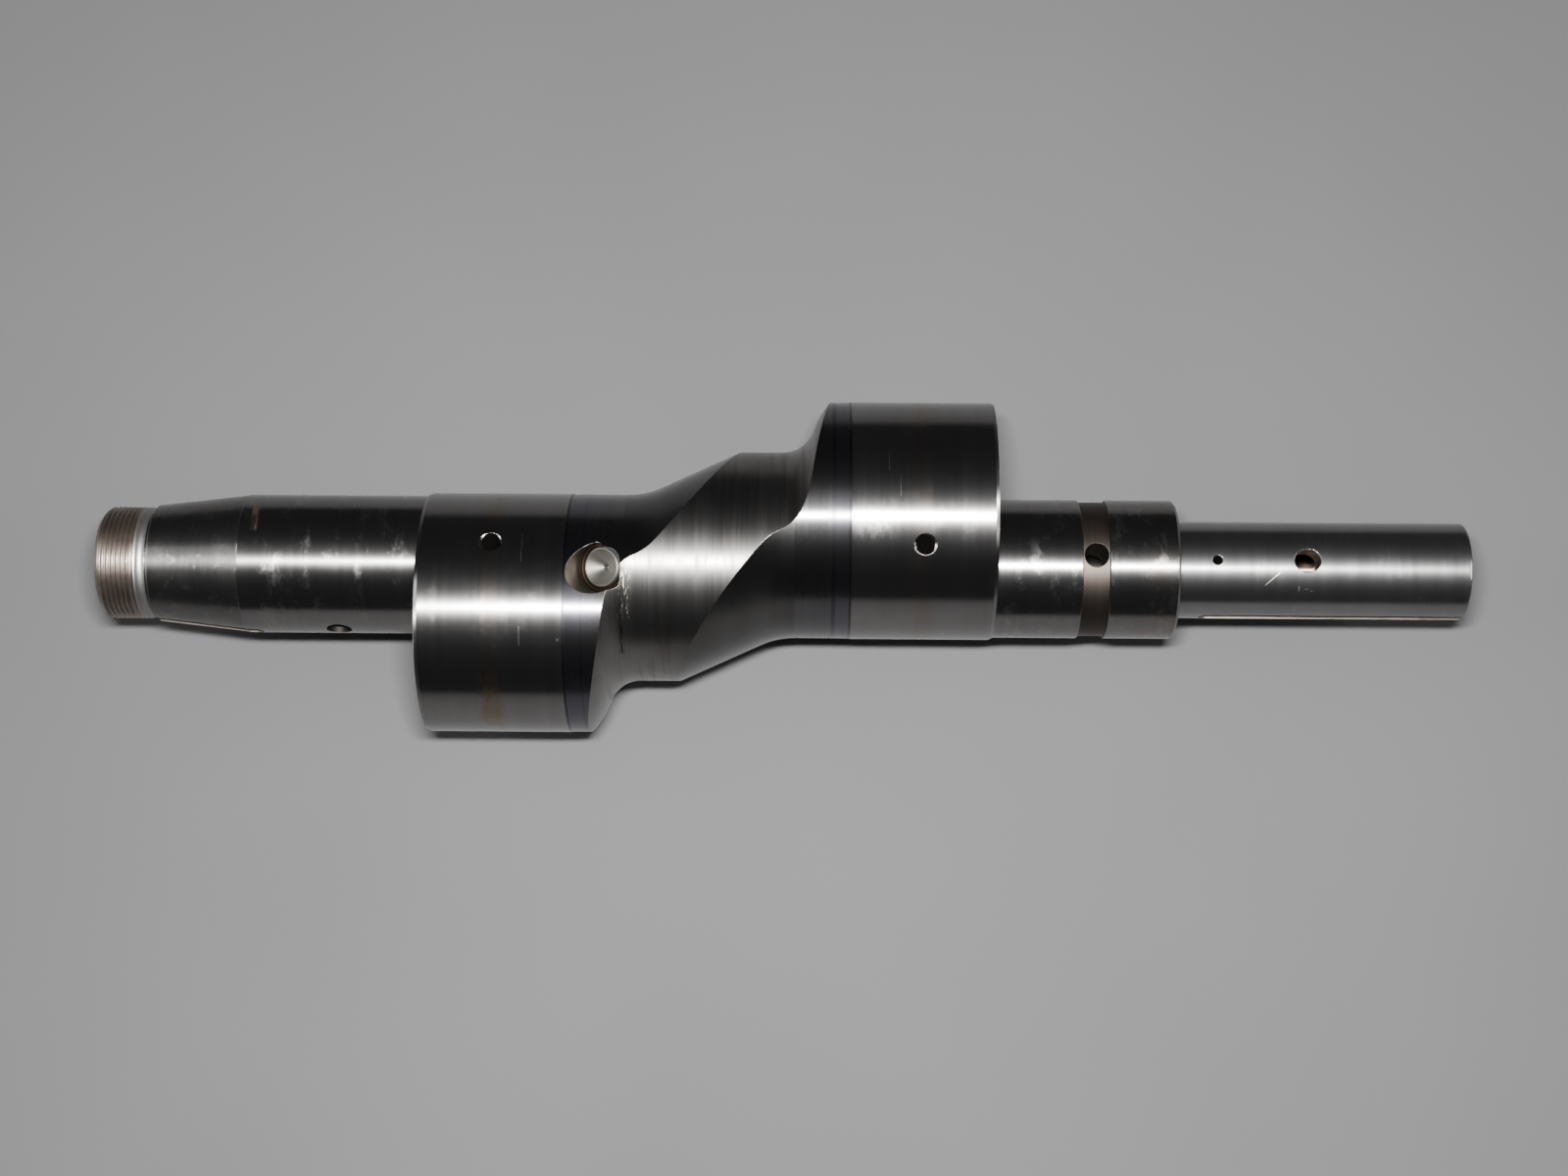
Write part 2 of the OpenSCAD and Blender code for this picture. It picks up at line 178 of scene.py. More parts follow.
class Outline:
    """Half an outline to turn, as (height, radius), from the low end of the axis to the high end.
    Each stretch keeps its zone and a surface number, so that its true normal is known later."""

    def __init__(self, height, radius):
        self.rings = [(height, radius)]
        self.stretches = []

    def line(self, zone, *points, smooth=False):
        """Straight stretches. Smooth ones take their normals from the mesh."""
        for h, r in points:
            h0, r0 = self.rings[-1]
            self.rings.append((h, r))
            self.stretches.append((zone, "smooth" if smooth else ("line", (r0 - r, h - h0))))
        return self

    def close(self, zone):
        """Runs back to the start, for a shape with a hole along its axis."""
        return self.line(zone, self.rings[0])

    def arc(self, zone, centre, end, step=4.0):
        """A round stretch about centre, the short way to end."""
        h0, r0 = self.rings[-1]
        start = math.atan2(r0 - centre[1], h0 - centre[0])
        turn = math.atan2(end[1] - centre[1], end[0] - centre[0]) - start
        turn = (turn + math.pi) % (2 * math.pi) - math.pi
        radius = math.hypot(h0 - centre[0], r0 - centre[1])
        count = max(2, math.ceil(abs(math.degrees(turn)) / step))
        for i in range(1, count + 1):
            angle = start + turn * i / count
            self.rings.append((centre[0] + radius * math.cos(angle), centre[1] + radius * math.sin(angle)))
            self.stretches.append((zone, ("arc", centre)))
        self.rings[-1] = end
        return self

    def edge_out(self, zone, size, step=15.0):
        """A rounded edge from here out to a larger radius."""
        h, r = self.rings[-1]
        return self.arc(zone, (h + size, r), (h + size, r + size), step)

    def edge_in(self, zone, size, step=15.0):
        """A rounded edge from here in to a smaller radius."""
        h, r = self.rings[-1]
        return self.arc(zone, (h, r - size), (h + size, r - size), step)


def new_mesh(name, vertices, faces, zones, numbers):
    """An object whose faces each have a zone's material and the number of the surface that they lie on."""
    mesh = bpy.data.meshes.new(name)
    mesh.from_pydata(vertices, [], faces)
    mesh.update()
    for material in zone_materials:
        mesh.materials.append(material)
    mesh.polygons.foreach_set("material_index", zones)
    mesh.attributes.new("surface", "INT", "FACE").data.foreach_set("value", numbers)
    made = bpy.data.objects.new(name, mesh)
    bpy.context.scene.collection.objects.link(made)
    return made


def turned(name, outline, place, steps=192, wave=None):
    """A closed solid turned round the local Z axis and then placed. wave(height, angles) gives the radii
    of a smooth stretch's ring from angle to angle, as a thread needs."""
    angles = np.arange(steps) * 2 * math.pi / steps
    inverse = place.inverted()
    vertices, rows, numbers, zones, faces = [], [], [], [], []
    waved = [any(s[1] == "smooth" for s in outline.stretches[max(i - 1, 0):i + 1])
             for i in range(len(outline.rings))]
    for (height, radius), moved in zip(outline.rings, waved):
        first = len(vertices)
        if rows and len(rows) == len(outline.stretches) and (height, radius) == outline.rings[0]:
            rows.append(rows[0])
            continue
        if radius < 1e-6:
            vertices.append(place @ Vector((0, 0, height)))
            rows.append([first] * (steps + 1))
            continue
        radii = wave(height, angles) if wave and moved else np.full(steps, radius)
        vertices += [place @ Vector((r * math.cos(a), r * math.sin(a), height))
                     for r, a in zip(radii, angles)]
        rows.append([first + j % steps for j in range(steps + 1)])
    known = {}
    for i, (zone, surface) in enumerate(outline.stretches):
        if surface == "smooth":
            number = SMOOTH
        else:
            if surface not in known:
                known[surface] = len(surfaces)
                surfaces.append((place, inverse, surface))
            number = known[surface]
        for j in range(steps):
            corners = [rows[i][j], rows[i][j + 1], rows[i + 1][j + 1], rows[i + 1][j]]
            faces.append(list(dict.fromkeys(corners)))
            zones.append(ZONES.index(zone))
            numbers.append(number)
    return new_mesh(name, vertices, faces, zones, numbers)


def block(name, low, high, place, zone):
    """A box between two corners."""
    (x0, y0, z0), (x1, y1, z1) = low, high
    corners = [(x, y, z) for x in (x0, x1) for y in (y0, y1) for z in (z0, z1)]
    faces = [(0, 1, 3, 2), (4, 6, 7, 5), (0, 4, 5, 1), (2, 3, 7, 6), (0, 2, 6, 4), (1, 5, 7, 3)]
    return new_mesh(name, [place @ Vector(c) for c in corners], faces, [ZONES.index(zone)] * 6, [FLAT] * 6)


def prism(name, corners, low, high, place, zone):
    """A straight prism with flat sides between two heights."""
    n = len(corners)
    vertices = [place @ Vector((x, y, z)) for z in (low, high) for x, y in corners]
    faces = [list(range(n))[::-1], list(range(n, 2 * n))]
    faces += [[i, (i + 1) % n, n + (i + 1) % n, n + i] for i in range(n)]
    return new_mesh(name, vertices, faces, [ZONES.index(zone)] * len(faces), [FLAT] * len(faces))


def combine(target, tools, operation):
    """Joins, cuts or intersects target with all the tools, which are then gone."""
    group = bpy.data.collections.new("tools")
    for tool in tools:
        group.objects.link(tool)
    modifier = target.modifiers.new("combine", "BOOLEAN")
    modifier.operation = operation
    modifier.solver = "MANIFOLD"
    modifier.operand_type = "COLLECTION"
    modifier.collection = group
    modifier.material_mode = "INDEX"
    graph = bpy.context.evaluated_depsgraph_get()
    mesh = bpy.data.meshes.new_from_object(target.evaluated_get(graph))
    target.modifiers.clear()
    target.data = mesh
    for tool in tools:
        bpy.data.objects.remove(tool)
    bpy.data.collections.remove(group)
    return target


def numbers_of(layer, name, width, kind=float):
    """One number, or a row of width numbers, for each element of a mesh's layer."""
    values = np.empty(len(layer) * width, kind)
    layer.foreach_get(name, values)
    return values.reshape(-1, width) if width > 1 else values


def true_normals(mesh):
    """Gives each corner the normal of the surface that its face was turned on."""
    points = numbers_of(mesh.vertices, "co", 3)
    corner = numbers_of(mesh.loops, "vertex_index", 1, np.int32)
    sizes = numbers_of(mesh.polygons, "loop_total", 1, np.int32)
    faces = numbers_of(mesh.polygons, "normal", 3)
    area = numbers_of(mesh.polygons, "area", 1)
    number = numbers_of(mesh.attributes["surface"].data, "value", 1, np.int32)
    owner = np.repeat(np.arange(len(sizes)), sizes)
    normals = faces[owner]
    which = number[owner]
    smooth = which == SMOOTH
    if smooth.any():
        total = np.zeros_like(points)
        np.add.at(total, corner[smooth], faces[owner[smooth]] * area[owner[smooth], None])
        normals[smooth] = total[corner[smooth]]
    for value in np.unique(which):
        if value in (FLAT, SMOOTH):
            continue
        place, inverse, (kind, given) = surfaces[value]
        mine = which == value
        local = points[corner[mine]] @ np.array(inverse.to_3x3()).T + np.array(inverse.translation)
        radius = np.hypot(local[:, 0], local[:, 1])
        out = local[:, :2] / np.maximum(radius, 1e-9)[:, None]
        if kind == "arc":
            along, away = local[:, 2] - given[0], radius - given[1]
        else:
            along, away = np.full(len(local), given[0]), np.full(len(local), given[1])
        normal = np.column_stack([out * away[:, None], along]) @ np.array(place.to_3x3()).T
        flip = np.sign(np.einsum("ij,ij->i", normal, faces[owner[mine]]))
        normals[mine] = normal * np.where(flip == 0, 1, flip)[:, None]
    normals /= np.maximum(np.linalg.norm(normals, axis=1), 1e-12)[:, None]
    mesh.polygons.foreach_set("use_smooth", np.ones(len(sizes), bool))
    mesh.normals_split_custom_set(normals.tolist())


def finish_piece(piece, name, body, node):
    """Scales a finished shape to metres, and lets it ride on its body in place of its CAD node."""
    piece.name = piece.data.name = name
    true_normals(piece.data)
    piece.data.transform(Matrix.Scale(MM, 4))
    indices = numbers_of(piece.data.polygons, "material_index", 1, np.int32)
    used = np.unique(indices)
    piece.data.materials.clear()
    for index in used:
        piece.data.materials.append(zone_materials[index])
    piece.data.polygons.foreach_set("material_index", np.searchsorted(used, indices).astype(np.int32))
    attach(piece, body)
    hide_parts(node)
    return piece


# ---- materials ----

LOOKS = {}  # a material for each zone of a surface


class Look:
    """A material being made, with short calls for the nodes that it needs."""

    def __init__(self, name):
        self.material = bpy.data.materials.new(name)
        self.material.use_nodes = True
        self.tree = self.material.node_tree
        self.shader = self.tree.nodes["Principled BSDF"]
        self.where = self.add("TexCoord").outputs["Object"]
        self.x, self.y, self.z = self.add("SeparateXYZ", Vector=self.where).outputs

    def add(self, kind, **inputs):
        """A new node with its inputs filled."""
        node = self.tree.nodes.new("ShaderNode" + kind)
        for name, value in inputs.items():
            self.put(value, node.inputs[name])
        return node

    def put(self, value, target):
        """Puts a number, a colour or another node's output into an input."""
        if isinstance(value, bpy.types.NodeSocket):
            self.tree.links.new(value, target)
        else:
            target.default_value = value

    def times(self, a, b):
        return self.math("MULTIPLY", a, b)

    def math(self, operation, a, b=0.0, c=0.0, clamp=False):
        node = self.add("Math")
        node.operation = operation
        node.use_clamp = clamp
        for value, target in zip((a, b, c), node.inputs):
            self.put(value, target)
        return node.outputs[0]

    def noise(self, scale, detail=3.0, rough=0.55, shift=(0, 0, 0)):
        """Noise whose size may differ along each axis: scale is in features per metre."""
        sizes = scale if isinstance(scale, tuple) else (scale,) * 3
        placed = self.add("Mapping", Vector=self.where, Scale=sizes, Location=shift).outputs[0]
        return self.add("TexNoise", Vector=placed, Scale=1.0, Detail=detail, Roughness=rough).outputs["Fac"]

    def spread(self, value, low, high, to_low=0.0, to_high=1.0):
        """Maps low..high onto to_low..to_high, with soft ends."""
        node = self.add("MapRange")
        node.interpolation_type = "SMOOTHSTEP"
        for entry, target in zip((value, low, high, to_low, to_high), node.inputs):
            self.put(entry, target)
        return node.outputs[0]

    def band(self, value, low, high, soft):
        """1 between low and high, 0 outside, with soft edges."""
        rise = self.spread(value, low - soft, low + soft)
        fall = self.spread(value, high - soft, high + soft)
        return self.math("SUBTRACT", rise, fall, clamp=True)

    def spot(self, x, y, soft):
        """1 inside a box given as station and Y ranges in millimetres, seen from above."""
        across = self.band(self.x, (MID_X + x[0]) * MM, (MID_X + x[1]) * MM, soft * MM)
        along = self.band(self.y, y[0] * MM, y[1] * MM, soft * MM)
        above = self.spread(self.z, 0, 0.002)
        return self.times(self.times(across, along), above)

    def mix(self, share, a, b):
        node = self.add("Mix", Factor=share)
        node.data_type = "RGBA"
        for value, target in ((a, node.inputs[6]), (b, node.inputs[7])):
            self.put((*value, 1) if isinstance(value, tuple) else value, target)
        return node.outputs[2]

    def bump(self, height, depth, strength=1.0, base=None):
        node = self.add("Bump", Height=height, Distance=depth, Strength=strength)
        if base is not None:
            self.put(base, node.inputs["Normal"])
        return node.outputs[0]

    def set(self, name, value):
        self.put(value, self.shader.inputs[name])

    def finish(self, colour, rough, normal=None, metallic=1.0):
        self.set("Base Color", colour)
        self.set("Roughness", rough)
        self.set("Metallic", metallic)
        if normal is not None:
            self.set("Normal", normal)
        return self.material

    def tangent(self, grain, pull):
        """Runs the soft way of a reflection across the tool marks: along X for a surface turned round X, or
        away from a point for a face turned round an axis through that point. pull is how strongly."""
        if grain == "X":
            node = self.add("CombineXYZ", X=1.0)
        else:
            node = self.add("VectorMath")
            node.operation = "SUBTRACT"
            self.put(self.where, node.inputs[0])
            node.inputs[1].default_value = grain
        self.set("Tangent", node.outputs[0])
        self.set("Anisotropic", pull)

    def film(self, weight):
        """A thin oil film that spreads a faint haze round the bright reflections."""
        self.set("Coat Weight", weight)
        self.set("Coat Roughness", 0.4)

    def bevel(self, width):
        node = self.add("Bevel", Radius=width)
        node.samples = 4
        return node.outputs[0]


def metal(name, colour, dull, rough, streak=0.1, cloud=0.06, depth=4e-6, tint=0.3, line=(2500.0, 12.0),
          grain="X", pull=1.0, film=0.0, stains=None, edge=0.00025):
    """Cut or ground metal. Fine lines run round X when line is (lines, broken bits) per metre, and streak
    is how far they change the roughness. cloud does the same in patches, and tint is how much of the dull
    colour the patches take. grain and pull are the tangent's, film is the oil film's weight and edge is how
    far edges look rounded, in metres. stains(look) gives (mask, colour, added roughness) rows."""
    look = Look(name)
    across, along = line
    lines = look.noise((across, along, along), detail=4, rough=0.7)
    broad = look.noise((across / 7, along * 0.8, along * 0.8), detail=2, shift=(3.1, 0, 0))
    patches = look.noise(55, detail=4, rough=0.6)
    share = look.spread(patches, 0.35, 0.75, 0, tint)
    tone = look.mix(share, colour, dull)
    shade = look.spread(look.math("ADD", lines, broad), 0.7, 1.3, 0.25, 0)
    tone = look.mix(shade, tone, dull)
    roughness = look.math("MULTIPLY_ADD", look.math("SUBTRACT", lines, 0.5), streak, rough)
    roughness = look.math("MULTIPLY_ADD", look.math("SUBTRACT", broad, 0.5), streak, roughness)
    roughness = look.math("MULTIPLY_ADD", look.spread(patches, 0.45, 0.8), cloud, roughness)
    for mask, stain, rub in (stains(look) if stains else ()):
        tone = look.mix(mask, tone, stain)
        roughness = look.math("MULTIPLY_ADD", mask, rub, roughness)
    roughness = look.math("MAXIMUM", roughness, 0.03)
    if grain:
        look.tangent(grain, pull)
    if film:
        look.film(film)
    height = look.math("ADD", lines, broad)
    normal = look.bump(height, depth, base=look.bevel(edge) if edge else None)
    LOOKS[name] = look.finish(tone, roughness, normal)


CUT = (0.30, 0.29, 0.28)
BRIGHT = (0.23, 0.223, 0.218)
DULL = (0.13, 0.116, 0.104)
PALE = (0.80, 0.74, 0.62)
TAN = (0.21, 0.155, 0.11)
VIOLET = (0.115, 0.107, 0.148)
DARK = (0.05, 0.047, 0.045)
RUSTY = (0.62, 0.42, 0.28)
SCRATCH = (0.5, 0.49, 0.47)
HAZE = (0.29, 0.28, 0.27)
EVEN = (300, 300)  # a grain the same both ways, without lines


def ring_stains(look, rings):
    """Bands round the shaft, as (first station, last station, softness, strength, colour, roughness)."""
    rows = []
    for low, high, soft, strength, colour, rub in rings:
        mask = look.band(look.x, (MID_X + low) * MM, (MID_X + high) * MM, soft * MM)
        rows.append((look.times(mask, strength), colour, rub))
    return rows


def journal_stains(look):
    """Oil bands at the rotor journals' holes, tan smears, scratches and cloudy wear. A mark is its station
    range, Y range, softness, colour and added roughness."""
    rows = ring_stains(look, [(-66.8, -62.4, 0.9, 0.4, TAN, 0.05), (62.2, 66.9, 0.9, 0.4, TAN, 0.05),
                              (131, 142, 3.0, 0.2, TAN, 0.05)])
    broken = look.spread(look.noise((420, 120, 120), detail=3), 0.42, 0.56)
    marks = [((-68.8, -62.1), (-50.9, -39.0), 1.5, TAN, 0.12),
             ((-140.4, -138.4), (6.0, 14.5), 0.7, RUSTY, 0.42),
             ((-55.6, -55.4), (-6.6, 2.4), 0.1, SCRATCH, 0.18),
             ((-55.7, -55.5), (-31.5, -26.0), 0.1, SCRATCH, 0.18),
             ((-44.6, -43.9), (-30.2, -29.4), 0.15, SCRATCH, 0.2),
             ((54.0, 54.2), (22.0, 30.0), 0.1, SCRATCH, 0.12),
             ((57.4, 57.6), (14.0, 21.0), 0.1, SCRATCH, 0.1),
             ((43.5, 56.0), (1.5, 8.5), 3.0, HAZE, 0.1)]
    for stations, across, soft, colour, rub in marks:
        mask = look.spot(stations, across, soft)
        rows.append((look.times(mask, look.math("MULTIPLY_ADD", broken, 0.6, 0.3)), colour, rub))
    haze = look.spread(look.noise((150, 90, 90), detail=6, rough=0.68, shift=(1, 2, 0)), 0.52, 0.74)
    rotors = look.band(look.x, (MID_X - OUTSIDE_X) * MM, (MID_X + OUTSIDE_X) * MM, 0.1 * MM)
    main = look.math("SUBTRACT", 1.0, rotors)
    share = look.times(haze, look.math("MULTIPLY_ADD", main, 0.6, 0.2))
    rows.append((share, HAZE, 0.24))
    return rows


def relief_stains(look):
    """Heat colours from grinding, and the fine dark line where the ground width starts."""
    return ring_stains(look, [(-42.9, -35.0, 2.5, 0.45, VIOLET, 0.03),
                              (37.5, 42.9, 1.6, 0.45, VIOLET, 0.03),
                              (-43.1, -42.3, 0.12, 0.8, DARK, 0.1),
                              (42.3, 43.1, 0.12, 0.8, DARK, 0.1),
                              (37.0, 38.2, 0.4, 0.6, DARK, 0.05),
                              (-37.6, -37.0, 0.25, 0.3, DARK, 0.05)])


def flare_stains(look):
    """A faint heat colour next to each relief."""
    return ring_stains(look, [(-36.2, -27, 4.0, 0.3, VIOLET, 0.02), (29, 37.5, 4.0, 0.3, VIOLET, 0.02)])


def drum_stains(look):
    """Darker turned bands, and a gouge and bright scuffs where the drum runs out beside the rear jet."""
    ragged = look.spread(look.noise((1700, 420, 420), detail=5, rough=0.75), 0.54, 0.60)
    mask = look.spot((-26.6, -23.4), (-22, -6), 0.8)
    streaks = look.spread(look.noise((520, 25, 25), detail=3), 0.50, 0.62)
    torn = look.spread(look.noise((1300, 110, 110), detail=4, rough=0.7, shift=(2, 5, 0)), 0.44, 0.54)
    gouge = look.spot((-26.5, -25.2), (-31, -8), 0.5)
    return [(look.times(streaks, 0.6), DULL, 0.08),
            (look.times(gouge, torn), DARK, 0.15),
            (look.times(mask, ragged), PALE, 0.3)]


def taper_stains(look):
    """Fretting marks and dull clouds."""
    spots = look.spread(look.noise(330, detail=3), 0.60, 0.68)
    clouds = look.spread(look.noise((60, 90, 90), detail=4, shift=(4, 1, 0)), 0.42, 0.66)
    return [(look.times(clouds, 0.5), DULL, 0.09), (look.times(spots, 0.5), BRIGHT, 0.08)]


def nose_stains(look):
    """A slanted scratch below the middle, and three short nicks."""
    slope, offset = 0.84, -131.4
    slant = look.math("MULTIPLY_ADD", look.x, -slope, look.y)
    line = look.band(slant, (offset - 0.15) * MM, (offset + 0.15) * MM, 0.08 * MM)
    rows = [(look.times(line, look.spot((169.6, 173.9), (-9, -2.5), 0.4)), PALE, 0.25)]
    for stations, across in (((179.8, 180.1), (-9.0, -7.6)), ((181.6, 182.8), (-8.5, -8.3)),
                             ((183.6, 184.2), (-9.1, -8.8))):
        rows.append((look.times(look.spot(stations, across, 0.12), 0.7), PALE, 0.25))
    return rows


def jet_face(side):
    """Middle of a jet plug's outer face, in metres."""
    return tuple(jet_axis(side) @ Vector((0, 0, JET_HEAD)) * MM)


metal("journal", BRIGHT, DULL, 0.22, streak=0.05, cloud=0.03, depth=2.5e-6, tint=0.2, pull=0.85, film=0.1,
      stains=journal_stains)
metal("relief", (0.15, 0.144, 0.149), (0.08, 0.075, 0.079), 0.28, streak=0.08, cloud=0.05, depth=5e-6,
      tint=0.4, film=0.1, stains=relief_stains)
metal("flare", (0.118, 0.114, 0.11), (0.072, 0.067, 0.062), 0.31, streak=0.08, depth=5e-6, tint=0.5,
      film=0.15, stains=flare_stains)
metal("drum", (0.21, 0.199, 0.189), (0.11, 0.098, 0.088), 0.37, streak=0.18, depth=1.2e-5, tint=0.5,
      line=(1600, 18), pull=0.9, film=0.2, stains=drum_stains)
metal("cheek", (0.21, 0.203, 0.195), DULL, 0.36, streak=0.12, depth=8e-6, film=0.2)
metal("taper", (0.18, 0.177, 0.174), (0.11, 0.105, 0.10), 0.25, streak=0.06, cloud=0.07, depth=5e-6,
      tint=0.5, line=(1200, 90), pull=0.8, film=0.35, stains=taper_stains)
metal("collar", CUT, DULL, 0.40, streak=0.06, grain=None)
metal("thread", (0.29, 0.25, 0.225), (0.15, 0.115, 0.09), 0.38, cloud=0.12, depth=1e-5, tint=0.6,
      line=EVEN, pull=0.5)
metal("groove", (0.05, 0.041, 0.036), (0.034, 0.026, 0.021), 0.42, streak=0.08, cloud=0.1, depth=1e-5,
      tint=0.6, grain=None)
metal("nose", (0.25, 0.247, 0.243), (0.18, 0.174, 0.169), 0.235, streak=0.08, depth=6e-6,
      line=(2200, 40), pull=0.7, film=0.7, stains=nose_stains)
# Inside the bores, drillings and countersinks the steel is painted shade: darkened to near black to stand for
# the shade in the holes.
metal("bore", (0.035, 0.031, 0.027), (0.02, 0.017, 0.014), 0.5, grain=None)
metal("pocket", (0.30, 0.265, 0.235), (0.11, 0.085, 0.06), 0.30, cloud=0.1, depth=8e-6, tint=0.7,
      line=EVEN, grain=None)
# The pocket floor round each jet plug is painted shade: near black, standing for the shadowed gap round the
# plug.
metal("shaded_pocket_floor", (0.016, 0.011, 0.007), (0.01, 0.007, 0.005), 0.55, line=EVEN, grain=None)
metal("face", CUT, DULL, 0.32, line=(120, 120), grain=(0.0, 0.0, 0.0))
for jet, side in (("rear_jet", -1), ("front_jet", 1)):
    metal(jet, (0.13, 0.127, 0.118), (0.09, 0.084, 0.072), 0.52, line=(900, 900), grain=jet_face(side),
          pull=0.5)
metal("ball", BRIGHT, DULL, 0.12, streak=0.04, cloud=0.04, depth=2e-6, line=(200, 200), grain=None, edge=0)
metal("spring", (0.30, 0.30, 0.30), (0.16, 0.15, 0.14), 0.35, line=EVEN, grain=None, edge=0)
metal("copper", (0.24, 0.175, 0.145), (0.12, 0.085, 0.068), 0.42, cloud=0.1, depth=8e-6, tint=0.5)
metal("pin", BRIGHT, DULL, 0.25, streak=0.08, cloud=0.05)
metal("plug", (0.34, 0.32, 0.30), (0.18, 0.16, 0.14), 0.42, cloud=0.1, depth=8e-6, line=EVEN, grain=None)
metal("bearing", (0.58, 0.57, 0.55), DULL, 0.3, cloud=0.08, depth=5e-6)
metal("brass", (0.56, 0.44, 0.24), (0.34, 0.24, 0.12), 0.38, cloud=0.1, depth=8e-6, tint=0.5)
metal("seal_case", (0.52, 0.50, 0.47), DULL, 0.34, cloud=0.1, depth=6e-6)


def rubber(name, colour):
    """Oil-darkened rubber: a fine grain with dusty patches."""
    look = Look(name)
    grain = look.noise(2600, detail=3)
    dust = look.spread(look.noise(180, detail=4), 0.45, 0.75)
    tone = look.mix(look.times(dust, 0.4), colour, (0.075, 0.068, 0.06))
    roughness = look.math("MULTIPLY_ADD", dust, 0.2, 0.45)
    LOOKS[name] = look.finish(tone, roughness, look.bump(grain, 2e-5, 0.6), 0.0)


rubber("ring", (0.022, 0.021, 0.02))
rubber("lip", (0.03, 0.024, 0.02))
ZONES = list(LOOKS)
zone_materials = list(LOOKS.values())

# ---- eccentric shaft ----

def cheeks():
    """Drum, hollow fillets and crowned cheeks, turned on the main axis."""
    clear, fillet, crown, steep = 90.0, 10.0, 30.0, math.radians(70)
    start, tip_turn, tip_lean = 21.8, 3.2, 0.2
    fillet_end = (start + fillet * math.sin(steep), DRUM_R + fillet * (1 - math.cos(steep)))
    centre = (fillet_end[0] + crown * math.sin(steep), fillet_end[1] - crown * math.cos(steep))
    top = REACH - 0.6
    crown_end = (centre[0] - math.sqrt(crown ** 2 - (top - centre[1]) ** 2), top)
    slope = math.atan2(crown_end[1] - centre[1], centre[0] - crown_end[0])
    tip_centre = (crown_end[0] + tip_turn * math.cos(slope), crown_end[1] - tip_turn * math.sin(slope))
    tip_top = (tip_centre[0] - tip_lean, tip_centre[1] + math.sqrt(tip_turn ** 2 - tip_lean ** 2))
    high = (tip_top[0], clear)
    outline = Outline(-OUTSIDE_X, 0).line("cheek", (-OUTSIDE_X, clear), (-high[0], high[1]))
    outline.line("cheek", (-tip_top[0], tip_top[1]))
    outline.arc("cheek", (-tip_centre[0], tip_centre[1]), (-crown_end[0], crown_end[1]), step=8)
    outline.arc("cheek", (-centre[0], centre[1]), (-fillet_end[0], fillet_end[1]), step=2)
    outline.arc("drum", (-start, DRUM_R + fillet), (-start, DRUM_R))
    outline.line("drum", (start, DRUM_R))
    outline.arc("drum", (start, DRUM_R + fillet), fillet_end)
    outline.arc("cheek", centre, crown_end, step=2)
    outline.arc("cheek", tip_centre, tip_top, step=8)
    outline.line("cheek", high, (OUTSIDE_X, clear), (OUTSIDE_X, 0))
    return turned("cheeks", outline, main_axis(), steps=256)


def flare(side):
    """One rotor journal, the relief beside it and the flare towards the other one, on its own axis."""
    clear, fillet, angle = 90.0, 25.0, math.radians(24.5)
    relief_r = ROTOR_R - 0.15
    start, end = 25.8, -12.0
    tangent = (start - fillet * math.sin(angle), relief_r + fillet * (1 - math.cos(angle)))
    far = (end, tangent[1] + (tangent[0] - end) * math.tan(angle))
    bevel, edge, rise = 1.0, 0.35, 0.9
    outline = Outline(-OUTSIDE_X, 0).line("face", (-OUTSIDE_X, clear))
    outline.line("flare", (end, clear), far, tangent)
    outline.arc("flare", (start, relief_r + fillet), (start, relief_r), step=3)
    outline.line("relief", (ROTOR_INNER_X - rise, relief_r), (ROTOR_INNER_X, ROTOR_R))
    outline.line("journal", (ROTOR_OUTER_X - bevel, ROTOR_R))
    outline.line("face", (ROTOR_OUTER_X, ROTOR_R - edge), (ROTOR_OUTER_X, 0))
    place = main_axis(side * ECCENTRICITY)
    if side < 0:
        place = place @ degrees("X", 180)
    return turned("flare", outline, place, steps=256)


def thread_wave(start, end, major, depth, chamfer=None):
    """Radius of a right-hand thread: flat crests and roots, 60 degree flanks, fading out at its end."""
    crest, flank = THREAD_PITCH / 14, THREAD_PITCH * 0.32

    def wave(height, angles):
        phase = ((height - start) / THREAD_PITCH + angles / (2 * math.pi)) % 1.0
        from_crest = np.minimum(phase, 1 - phase) * THREAD_PITCH
        share = np.clip((from_crest - crest) / flank, 0, 1)
        fade = np.clip((end - height) / THREAD_PITCH, 0, 1) if end > start else 1
        radii = major - depth * share * fade
        return np.minimum(radii, chamfer(height)) if chamfer else radii
    return wave


def thread_rings(start, end, radius, per_turn):
    """Points along a threaded stretch, per_turn of them for each turn of the thread."""
    count = round((end - start) / (THREAD_PITCH / per_turn))
    return [(start + (end - start) * i / count, radius) for i in range(1, count + 1)]


